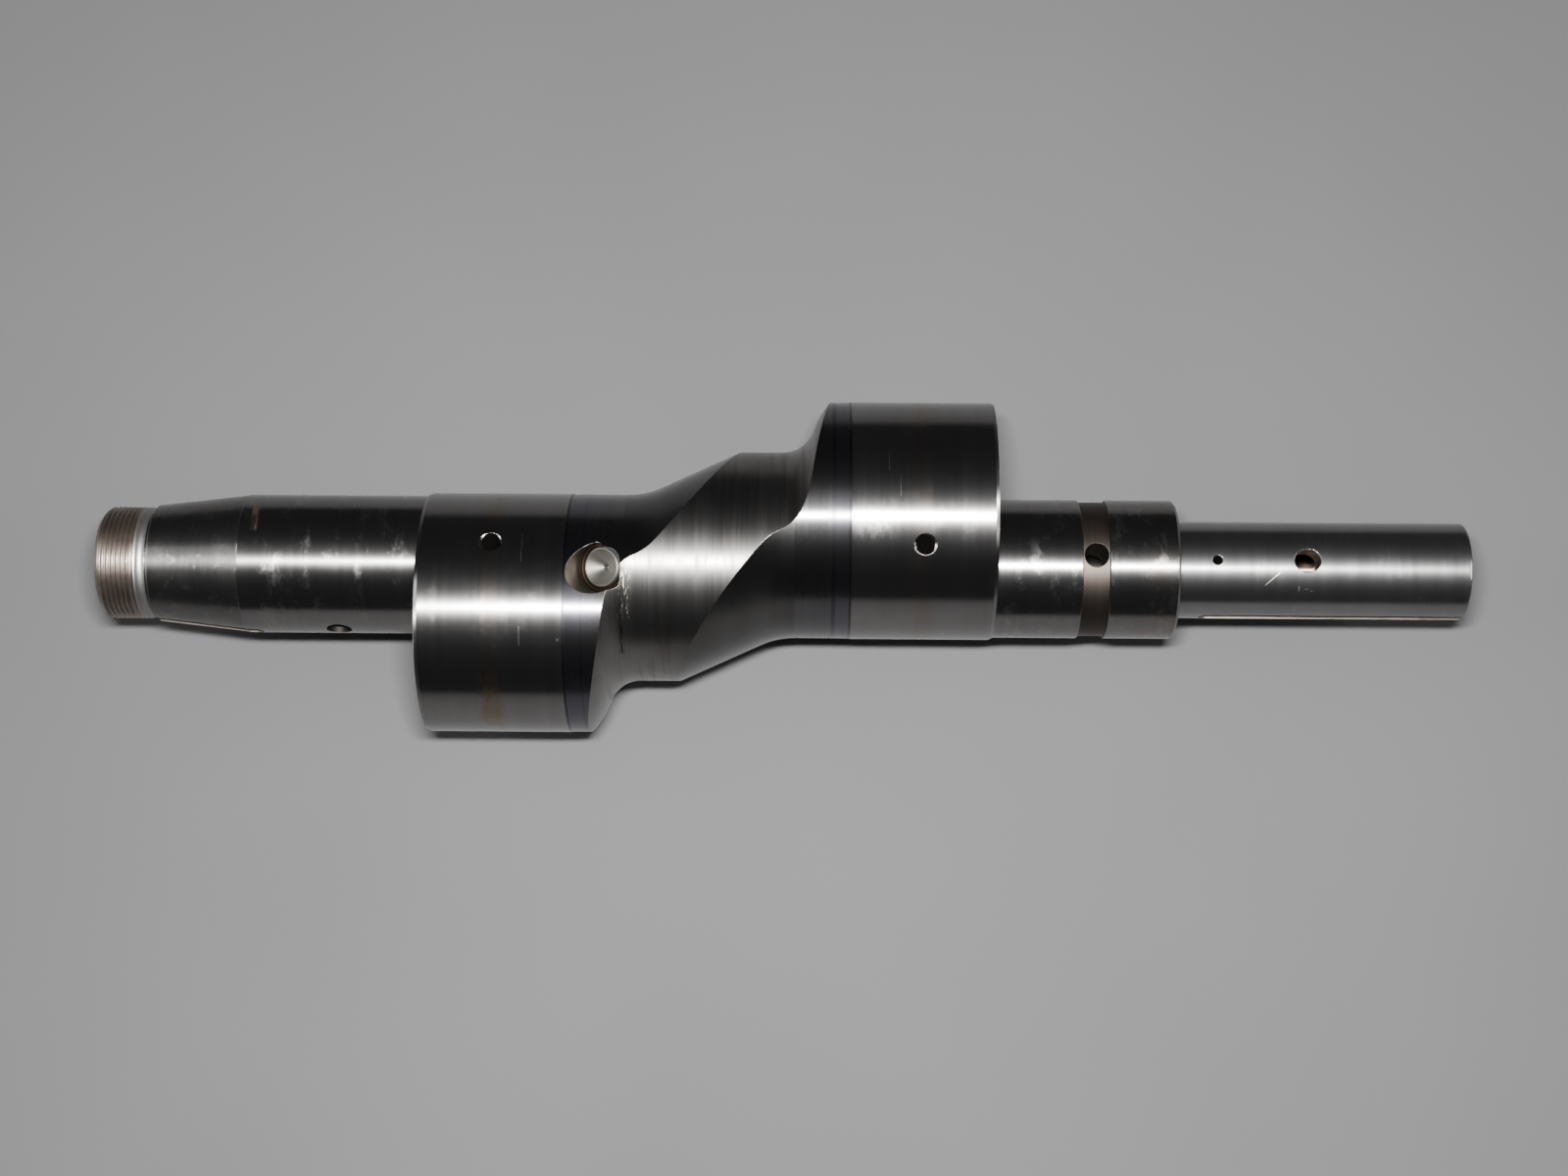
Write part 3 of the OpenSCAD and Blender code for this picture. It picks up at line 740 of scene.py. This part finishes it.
def rear_stub():
    """Rear main journal, taper, neck and thread."""
    end_chamfer, chamfer_slope, bevel = 2.3, 1.15, 0.15
    outline = Outline(REAR_END, 0).line("face", (REAR_END, THREAD_R - end_chamfer))
    outline.line("thread", *thread_rings(REAR_END, THREAD_END, THREAD_R, 12), smooth=True)
    collar_start, collar_x, collar_r = THREAD_END + 0.5, THREAD_END + 1.3, 2.78
    neck_x, neck_end, neck_r = THREAD_END + 3.2, THREAD_END + 3.6, 16.6
    centre = (collar_x, neck_r - math.sqrt(collar_r ** 2 - (neck_x - collar_x) ** 2))
    start = (collar_start, centre[1] + math.sqrt(collar_r ** 2 - (collar_x - collar_start) ** 2))
    outline.line("collar", start).arc("collar", centre, (neck_x, neck_r))
    outline.line("taper", (neck_end, neck_r), (TAPER_X - bevel, TAPER_SMALL_R - 2 * bevel))
    outline.line("taper", (TAPER_X, TAPER_SMALL_R), (TAPER_END, TAPER_LARGE_R))
    outline.line("journal", (TAPER_END + bevel, MAIN_R), (-JOIN_X, MAIN_R))
    outline.line("face", (-JOIN_X, 0))
    wave = thread_wave(REAR_END, THREAD_END, THREAD_R, THREAD_DEPTH,
                       lambda height: THREAD_R - end_chamfer + (height - REAR_END) * chamfer_slope)
    return turned("rear_stub", outline, main_axis(), wave=wave)


def front_stub():
    """Front main journal with its oil groove, and the nose."""
    depth, edge, wall, bevel, fillet, end_round = 0.7, 0.25, 0.2, 0.8, 0.4, 1.3
    low, high = GROOVE_X - GROOVE_W / 2, GROOVE_X + GROOVE_W / 2
    outline = Outline(JOIN_X, 0).line("face", (JOIN_X, MAIN_R))
    outline.line("journal", (low - edge, MAIN_R)).edge_in("journal", edge)
    outline.line("groove", (low + wall, MAIN_R - depth), (high - wall, MAIN_R - depth), (high, MAIN_R - edge))
    outline.edge_out("journal", edge)
    outline.line("journal", (SHOULDER - bevel, MAIN_R), (SHOULDER, MAIN_R - bevel))
    outline.line("face", (SHOULDER, NOSE_R + fillet))
    outline.arc("nose", (SHOULDER + fillet, NOSE_R + fillet), (SHOULDER + fillet, NOSE_R), step=15)
    outline.line("nose", (FRONT_END - end_round, NOSE_R)).edge_in("nose", end_round, step=10)
    outline.line("face", (FRONT_END, 0))
    return turned("front_stub", outline, main_axis())


def bore_tool():
    """Everything that is bored along the main axis, from the rear end to the front end."""
    mouth, mouth_depth, seal_depth, thread_depth = 2.5, 1.5, 6.0, 0.8
    cup_end, plug_end = REAR_END + CUP_BORE_DEPTH, REAR_END + PLUG_BORE_DEPTH
    outline = Outline(REAR_END - PAST, 0)
    outline.line("bore", (REAR_END - PAST, SEAL_BORE_R + mouth))
    outline.line("bearing", (REAR_END + mouth_depth, SEAL_BORE_R), (REAR_END + seal_depth, SEAL_BORE_R))
    outline.line("bore", (REAR_END + seal_depth, CUP_BORE_R), (cup_end, CUP_BORE_R), (cup_end, PLUG_BORE_R))
    outline.line("bore", (plug_end, PLUG_BORE_R), (plug_end, GALLERY_R), (VALVE_SEAT, GALLERY_R))
    outline.line("bore", (VALVE_SEAT, VALVE_BORE_R), (BOLT_BORE, VALVE_BORE_R), (BOLT_BORE, NOSE_BOLT_R))
    thread_end, chamfer = FRONT_END - 1.4, 1.2
    outline.line("bore", *thread_rings(BOLT_BORE, thread_end, NOSE_BOLT_R, 8), smooth=True)
    outline.line("face", (FRONT_END - chamfer, NOSE_BOLT_R), (FRONT_END + PAST, NOSE_BOLT_R + chamfer + PAST))
    outline.line("bore", (FRONT_END + PAST, 0))
    wave = thread_wave(BOLT_BORE, thread_end, NOSE_BOLT_R, thread_depth)
    return turned("bore_tool", outline, main_axis(), steps=128, wave=wave)


def drill(radius, top, place, sink=0.0):
    """A drilling from the local origin up to top, then a 45 degree countersink of height sink."""
    outline = Outline(0, 0).line("bore", (0, radius), (top, radius))
    # A countersink also takes the bore material, so it carries the same painted shade.
    if sink:
        outline.line("bore", (top + sink, radius + sink))
    outline.line("bore", (top + sink, 0))
    return turned("drill", outline, place, steps=64)


def rotor_hole_tools(side):
    """Oil hole of a rotor journal, straight up from the main axis, with a cone square to the journal."""
    top = math.sqrt(ROTOR_R ** 2 - ECCENTRICITY ** 2)
    lean = math.degrees(math.asin(ECCENTRICITY / ROTOR_R))
    hole = radial(side * ROTOR_X)
    low, high, low_r, clear = -1.0, 2.0, 2.5, 3.0
    cone = Outline(low, 0).line("face", (low, low_r), (high, low_r + high - low), (high, 0))
    mouth = hole @ shift(0, 0, top) @ degrees("X", side * lean)
    return [drill(ROTOR_HOLE_R, top + clear, hole), turned("mouth", cone, mouth, steps=64)]


def jet_tool(side):
    """Pocket, bore and feed of an oil jet."""
    corner, clear = 0.6, 20.0
    feed = -JET_RADIUS / math.cos(math.radians(JET_TILT))
    outline = Outline(feed, 0).line("bore", (feed, FEED_R), (-JET_DEPTH, FEED_R))
    outline.line("bore", (-JET_DEPTH, JET_R), (0, JET_R))
    # The floor ring round the plug takes the near-black painted shade.
    outline.line("shaded_pocket_floor", (0, POCKET_R - corner)).edge_out("shaded_pocket_floor", corner)
    outline.line("pocket", (clear, POCKET_R), (clear, 0))
    return turned("jet_tool", outline, jet_axis(side), steps=96)


def key_tools():
    """Keyways of the nose, open at the front, and of the taper, whose floor follows the slope."""
    start, taper_key_end = SHOULDER + 10.5, TAPER_END + 3
    nose = radial(start, 90) @ shift(0, 0, NOSE_R - KEY_DEPTH)
    slope = math.degrees(math.atan((TAPER_LARGE_R - TAPER_SMALL_R) / (TAPER_END - TAPER_X)))
    taper = radial(TAPER_X, 90) @ shift(0, 0, TAPER_SMALL_R - KEY_DEPTH) @ degrees("Y", -slope)
    length = taper_key_end - TAPER_X
    half, top = KEY_W / 2, KEY_DEPTH + 2 * PAST
    tools = [block("key", (0, -half, 0), (FRONT_END - start + PAST, half, top), nose, "pocket"),
             block("key", (-PAST, -half, 0), (length, half, top), taper, "pocket")]
    for place in (nose, taper @ shift(length, 0, 0)):
        outline = Outline(0, 0).line("pocket", (0, half), (top, half), (top, 0))
        tools.append(turned("key_end", outline, place, steps=48))
    return tools


def eccentric_shaft():
    """The forging: cheeks cut round by the two rotor journals, both ends joined on, and all holes cut."""
    shaft = combine(cheeks(), [flare(-1), flare(1)], "INTERSECT")
    combine(shaft, [rear_stub(), front_stub()], "UNION")
    tools = [bore_tool(), *key_tools()]
    for side in (-1, 1):
        tools += [*rotor_hole_tools(side), jet_tool(side)]
    rear_edge, pin_edge, valve_edge, sink = 0.2, 0.3, 0.4, 2.0
    tools.append(drill(MAIN_HOLE_R, MAIN_R - rear_edge, radial(REAR_HOLE_X, REAR_HOLE_ROLL), sink))
    tools.append(drill(MAIN_HOLE_R, MAIN_R + PAST, radial(GROOVE_X)))
    tools.append(drill(PIN_HOLE_R, NOSE_R - pin_edge, radial(PIN_HOLE_X), sink))
    tools.append(drill(MAIN_HOLE_R, NOSE_R - valve_edge, radial(VALVE_HOLE_X), sink))
    return combine(shaft, tools, "DIFFERENCE")


# ---- oil jets ----

def jet_plug(side):
    """Plug with a coned recess, an orifice, and a chamber for its spring and ball."""
    zone = "rear_jet" if side < 0 else "front_jet"
    cone_r, orifice_r, edge = 5.4, 0.8, 0.4
    slope = math.tan(math.radians(30))
    low, top = -JET_DEPTH + 0.1, JET_HEAD
    outline = Outline(low, CHAMBER_R)
    outline.line(zone, (low, JET_R - edge), (low + edge, JET_R - GAP), (top - edge, JET_R - GAP))
    outline.edge_in(zone, edge)
    outline.line(zone, (top, cone_r), (top - (cone_r - orifice_r) * slope, orifice_r))
    outline.line(zone, (CHAMBER_TOP, orifice_r), (CHAMBER_TOP, CHAMBER_R)).close(zone)
    return turned("jet_plug", outline, jet_axis(side), steps=128)


def ball(place):
    """Check ball about the local origin."""
    outline = Outline(-BALL_R, 0).arc("ball", (0, 0), (0, BALL_R)).arc("ball", (0, 0), (BALL_R, 0))
    return turned("ball", outline, place, steps=64)


def spring(coil_r, wire_r, length, turns, place, steps=40, sides=12):
    """Coil spring from the local origin up, whose end turns lie flat."""
    flat = 0.4
    rings = round(turns * steps)
    vertices, faces = [], []
    for i in range(rings + 1):
        turn = i / steps
        rise = min(max((turn - flat) / (turns - 2 * flat), 0), 1)
        height = wire_r + (length - 2 * wire_r) * rise
        angle = 2 * math.pi * turn
        for k in range(sides):
            side = 2 * math.pi * k / sides
            out = coil_r + wire_r * math.cos(side)
            vertices.append(place @ Vector((out * math.cos(angle), out * math.sin(angle),
                                            height + wire_r * math.sin(side))))
    for i in range(rings):
        for k in range(sides):
            after = (k + 1) % sides
            faces.append([i * sides + k, (i + 1) * sides + k, (i + 1) * sides + after, i * sides + after])
    numbers = [SMOOTH] * len(faces) + [FLAT, FLAT]
    faces += [list(range(sides)), [rings * sides + k for k in range(sides)][::-1]]
    return new_mesh("spring", vertices, faces, [ZONES.index("spring")] * len(faces), numbers)


def oil_jet(side, end):
    """Plug, spring and check ball of one jet; the spring is made at one fixed length between ball and plug.
    """
    axis = jet_axis(side)
    over_feed, over_ball, under_plug = 0.03, 0.1, 0.05
    ball_z = -JET_DEPTH + math.sqrt(BALL_R ** 2 - FEED_R ** 2) + over_feed
    low = ball_z + BALL_R + over_ball
    length = CHAMBER_TOP - low - under_plug
    finish_piece(jet_plug(side), f"{end}_jet_plug_turned", "shaft", f"{end}_jet_plug")
    finish_piece(ball(axis @ shift(0, 0, ball_z)), f"{end}_jet_ball_ground", f"{end}_ball",
                 f"{end}_jet_ball")
    coil = spring(coil_r=2.4, wire_r=0.35, length=length, turns=4.5, place=axis @ shift(0, 0, low))
    finish_piece(coil, f"{end}_jet_spring_wound", "shaft", f"{end}_jet_spring")
    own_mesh(coil)


# ---- oil bypass valve ----

def valve_body():
    """Valve with a waist that lets oil past, a skirt for its spring and a bore for its pin."""
    waist_r, skirt_r, skirt, length, pin_bore = 5.2, 4.6, 4.0, 20.0, 7.0
    low, high, slope, bevel, rear_edge, front_edge, slack = 4.5, 12.8, 0.8, 0.2, 0.4, 0.6, 0.05
    turn = low + slope + bevel
    outline = Outline(skirt, 0).line("copper", (skirt, skirt_r), (0, skirt_r), (0, VALVE_R - rear_edge))
    outline.edge_out("copper", rear_edge)
    outline.line("copper", (low - bevel, VALVE_R), (low, VALVE_R - bevel), (low + slope, waist_r + bevel))
    outline.arc("copper", (turn, waist_r + bevel), (turn, waist_r), step=20)
    outline.line("copper", (high - slope, waist_r), (high, VALVE_R - bevel), (high + bevel, VALVE_R))
    outline.line("copper", (length - front_edge, VALVE_R)).edge_in("copper", front_edge)
    outline.line("copper", (length, PIN_R + slack + 0.25), (length - 0.25, PIN_R + slack))
    outline.line("copper", (length - pin_bore, PIN_R + slack), (length - pin_bore, 0))
    return turned("valve_body", outline, along_shaft(VALVE_X), steps=128)


def valve_pin():
    """Pin that stands out of the front of the valve."""
    low, high, edge = VALVE_X + 13.5, VALVE_X + 24.6, 0.5
    outline = Outline(low, 0).line("pin", (low, PIN_R), (high - edge, PIN_R)).edge_in("pin", edge)
    outline.line("pin", (high, 0))
    return turned("valve_pin", outline, main_axis(), steps=64)


def bypass_valve(seat):
    """Valve, pin and spring, which runs at a fixed length from its seat to the valve."""
    finish_piece(valve_body(), "thermo_valve_turned", "valve", "thermo_valve_body")
    finish_piece(valve_pin(), "thermo_pin_turned", "valve_pin", "thermo_valve_pin")
    slack = 0.1
    length = VALVE_X - seat - 2 * slack
    coil = spring(coil_r=6.1, wire_r=0.8, length=length, turns=7, place=along_shaft(seat + slack),
                  steps=48, sides=16)
    finish_piece(coil, "thermo_spring_wound", "shaft", "thermo_valve_spring")
    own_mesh(coil)


# ---- gallery plug ----

def gallery_plug():
    """Plug with a sealing groove in its head and a hexagon socket."""
    head_r, shank_r, edge, shank, bevel = 10.7, PLUG_BORE_R - GAP, 0.4, 10, 1
    head_len = CUP_BORE_DEPTH - PLUG_HEAD - GAP
    middle, half, root = head_len / 2, 1.1, RING_R - RING_WIRE - 0.03
    end = head_len + shank + bevel
    outline = Outline(0, 0).line("plug", (0, head_r - edge)).edge_out("plug", edge)
    outline.line("plug", (middle - half, head_r), (middle - half, root), (middle + half, root))
    outline.line("plug", (middle + half, head_r), (head_len, head_r), (head_len, shank_r))
    outline.line("plug", (head_len + shank, shank_r), (end, shank_r - bevel), (end, 0))
    place = along_shaft(REAR_END + PLUG_HEAD)
    plug = turned("gallery_plug", outline, place, steps=128)
    across, depth, sink, point_r, point = 8.0, 6.0, 0.5, 3.4, 1.2
    low = depth - PAST
    corner = across / 2 / math.cos(math.radians(30))
    turns = [math.radians(60 * i) for i in range(6)]
    ring = [(corner * math.cos(turn), corner * math.sin(turn)) for turn in turns]
    mouth = Outline(-PAST, 0).line("plug", (-PAST, corner + PAST), (sink, corner - sink), (sink, 0))
    drill_point = Outline(low, 0).line("plug", (low, point_r), (depth, point_r), (depth + point, 0))
    socket_tools = [prism("hexagon", ring, -PAST, depth, place, "plug"), turned("mouth", mouth, place, 48),
                    turned("drill_point", drill_point, place, 48)]
    return combine(plug, socket_tools, "DIFFERENCE")


def plug_ring():
    """Rubber ring in the groove of the gallery plug."""
    middle = PLUG_HEAD + (CUP_BORE_DEPTH - PLUG_HEAD - GAP) / 2
    outline = Outline(-RING_WIRE, RING_R)
    for end in ((0, RING_R + RING_WIRE), (RING_WIRE, RING_R), (0, RING_R - RING_WIRE),
                (-RING_WIRE, RING_R)):
        outline.arc("ring", (0, RING_R), end, step=15)
    return turned("plug_ring", outline, along_shaft(REAR_END + middle), steps=128)


# ---- pilot bearing and seal, from the rear face inwards ----

def pilot_cup():
    """Drawn cup with an inward lip at each end."""
    lip_r, lip, wall, edge, bevel = 8.3, 0.8, 1.0, 0.5, 0.2
    outer, inner = CUP_BORE_R - GAP, CUP_BORE_R - wall
    outline = Outline(0, lip_r).line("bearing", (0, outer - edge)).edge_out("bearing", edge, step=10)
    outline.line("bearing", (CUP_LEN - edge, outer)).edge_in("bearing", edge, step=10)
    outline.line("bearing", (CUP_LEN, lip_r + bevel), (CUP_LEN - bevel, lip_r), (CUP_LEN - lip, lip_r))
    outline.line("bearing", (CUP_LEN - lip, inner), (lip, inner), (lip, lip_r)).close("bearing")
    return turned("pilot_cup", outline, along_shaft(REAR_END + CUP_START), steps=160)


def pilot_cage():
    """Ring with a slot for each needle."""
    length, slack = CUP_LEN - 2, 0.05
    inner, outer, edge = NEEDLE_PITCH_R - 0.65, NEEDLE_PITCH_R + 0.6, 0.2
    outline = Outline(0, inner).line("brass", (0, outer - edge), (edge, outer), (length - edge, outer),
                                     (length, outer - edge), (length, inner)).close("brass")
    place = along_shaft(REAR_END + CUP_START + (CUP_LEN - length) / 2)
    cage = turned("pilot_cage", outline, place, steps=144)
    half, low = NEEDLE_R + slack, (length - NEEDLE_LEN) / 2 - slack
    slots = [block("slot", (inner - PAST, -half, low), (outer + PAST, half, length - low),
                   place @ degrees("Z", 360 * i / NEEDLES), "brass") for i in range(1, NEEDLES + 1)]
    return combine(cage, slots, "DIFFERENCE")


def needle(i):
    """Needle roller with rounded ends."""
    edge = 0.35
    outline = Outline(0, 0).line("bearing", (0, NEEDLE_R - edge)).edge_out("bearing", edge)
    outline.line("bearing", (NEEDLE_LEN - edge, NEEDLE_R)).edge_in("bearing", edge)
    outline.line("bearing", (NEEDLE_LEN, 0))
    place = along_shaft(REAR_END + CUP_START + (CUP_LEN - NEEDLE_LEN) / 2) @ degrees("Z", 360 * i / NEEDLES)
    return turned("needle", outline, place @ shift(NEEDLE_PITCH_R, 0, 0), steps=48)


def seal_case():
    """Bent sheet ring that holds the seal's rubber."""
    low, high, inner, bend, wall = 1.2, 5.7, 9.2, 0.6, SEAL_WALL
    outer, lining = SEAL_BORE_R - GAP, SEAL_BORE_R - wall
    outline = Outline(low, inner).line("seal_case", (low, outer - bend)).edge_out("seal_case", bend)
    outline.line("seal_case", (high, outer), (high, lining), (low + wall, lining), (low + wall, inner))
    outline.close("seal_case")
    return turned("seal_case", outline, along_shaft(REAR_END), steps=128)


def seal_lip():
    """Rubber disc with a lip that leans inwards."""
    low, outer = 2 + GAP, SEAL_BORE_R - SEAL_WALL - GAP
    high, inner, bend_r, bend = 3.2, 8.2, 9.6, 0.2
    outline = Outline(low, inner).line("lip", (low, outer), (high, outer), (high, bend_r))
    outline.arc("lip", (high + bend, bend_r), (high + bend, bend_r - bend), step=30)
    outline.line("lip", (4.6, 8.6), (5.2, 7.6), (4.8, 7.4), (3.4, 8)).close("lip")
    return turned("seal_lip", outline, along_shaft(REAR_END), steps=128)


def pilot_bearing():
    """Cup, cage, needles and seal of the rear end."""
    finish_piece(pilot_cup(), "pilot_cup_drawn", "shaft", "pilot_cup")
    finish_piece(pilot_cage(), "pilot_cage_slotted", "cage", "pilot_cage")
    for i in range(1, NEEDLES + 1):
        node = f"pilot_needle_{i}"
        finish_piece(needle(i), f"{node}_ground", f"needle_{i}", node)
    finish_piece(seal_case(), "pilot_seal_case_pressed", "shaft", "pilot_seal_case")
    finish_piece(seal_lip(), "pilot_seal_lip_moulded", "shaft", "pilot_seal_lip")


finish_piece(eccentric_shaft(), "shaft_forging", "shaft", "eccentric_shaft")
oil_jet(-1, "rear")
oil_jet(1, "front")
bypass_valve(VALVE_SEAT)
finish_piece(gallery_plug(), "gallery_plug_turned", "shaft", "gallery_plug")
finish_piece(plug_ring(), "gallery_plug_ring_moulded", "shaft", "gallery_plug_ring")
pilot_bearing()

# ---- floor, light and camera ----

def floor_material():
    """Matt pale paper with faint clouds."""
    look = Look("floor")
    share = look.noise(6, detail=2)
    tone = look.mix(look.spread(share, 0.3, 0.7), (0.049, 0.049, 0.05), (0.053, 0.053, 0.054))
    return look.finish(tone, 0.75, None, 0.0)


def make_floor():
    """A plain floor that the lowest point of the shaft rests on."""
    size, low = 6.0, cad_box[0].z
    mesh = bpy.data.meshes.new("floor")
    mesh.from_pydata([(-size, -size, low), (size, -size, low), (size, size, low), (-size, size, low)], [],
                     [(0, 1, 2, 3)])
    mesh.materials.append(floor_material())
    made = bpy.data.objects.new("floor", mesh)
    bpy.context.scene.collection.objects.link(made)


def area_light(name, at, width, depth, power):
    """A soft light aimed at the middle of the shaft, with its size in metres and its power in watts."""
    light = bpy.data.lights.new(name, "AREA")
    light.shape = "RECTANGLE"
    light.size = width
    light.size_y = depth
    light.energy = power
    made = bpy.data.objects.new(name, light)
    made.location = at
    made.rotation_euler = (-Vector(at)).to_track_quat("-Z", "Y").to_euler()
    bpy.context.scene.collection.objects.link(made)


def make_lights():
    """A narrow strip beside the camera draws the bright line along each journal. Two wide lights past the
    shaft's ends brighten the floor."""
    area_light("key", (0.008, -0.095, 0.753), width=0.16, depth=0.035, power=32)
    area_light("left", (-1.6, 0.1, 0.9), width=0.8, depth=0.8, power=20)
    area_light("right", (1.6, -0.1, 0.9), width=0.8, depth=0.8, power=20)
    world = bpy.data.worlds.new("studio")
    bpy.context.scene.world = world
    world.use_nodes = True
    background = world.node_tree.nodes["Background"]
    background.inputs["Color"].default_value = (0.9, 0.93, 1.0, 1)
    background.inputs["Strength"].default_value = 0.045


def make_camera():
    """The photo's camera: where it stands, its lens, and its right and back directions."""
    at = (0.00841, -0.15877, 0.73971)
    right = Vector((0.99992, 0.00907, -0.00886))
    back = Vector((0.0105, -0.20145, 0.97944))
    camera = bpy.data.cameras.new("camera")
    camera.sensor_width = 36
    camera.lens = 55.69
    made = bpy.data.objects.new("camera", camera)
    up = back.cross(right).normalized()
    right = up.cross(back).normalized()
    made.matrix_world = Matrix((right, up, back)).transposed().to_4x4()
    made.location = at
    bpy.context.scene.collection.objects.link(made)
    bpy.context.scene.camera = made


make_floor()
make_lights()
make_camera()
